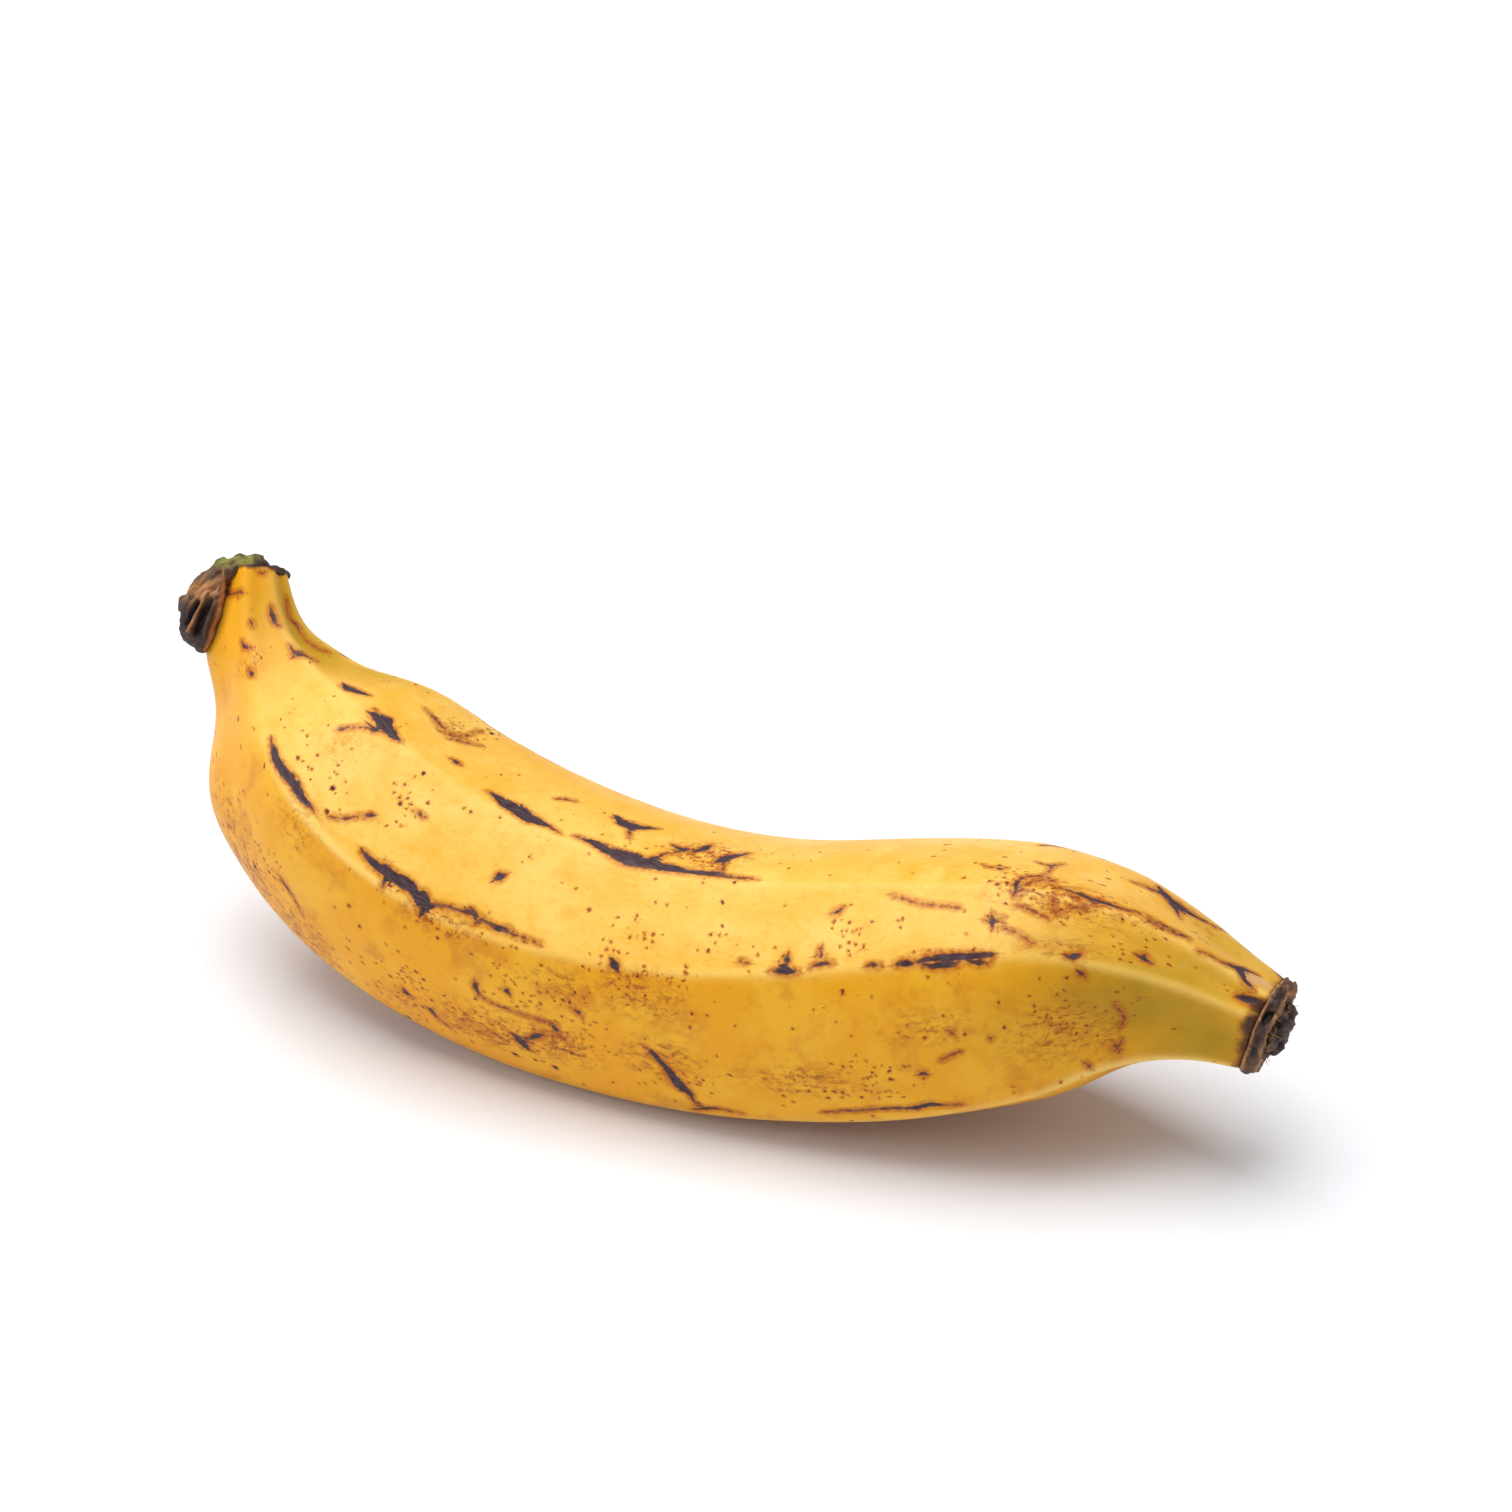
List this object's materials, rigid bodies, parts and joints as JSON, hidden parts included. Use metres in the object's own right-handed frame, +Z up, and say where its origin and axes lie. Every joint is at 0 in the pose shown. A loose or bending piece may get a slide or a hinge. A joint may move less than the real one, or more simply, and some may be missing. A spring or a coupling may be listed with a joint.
{
  "type": "plantain",
  "caption": "Ripe plantain lying on its curved underside: five-ridged curved body, tapering neck with a torn crown stub, and a dried blossom end.",
  "frame": {"origin": "middle of the part's box in X and Y, at the height of the flat spot it rests on", "axes": "+X from the neck towards the blossom end, +Z up, +Y the way the bend leans back"},
  "size_m": [0.2328, 0.0626, 0.0768],
  "materials": {
    "peel": "satin, ripe yellow peel with dark bruises and specks"
  },
  "bodies": {
    "root": {"plantain": "peel"}
  },
  "joints": []
}
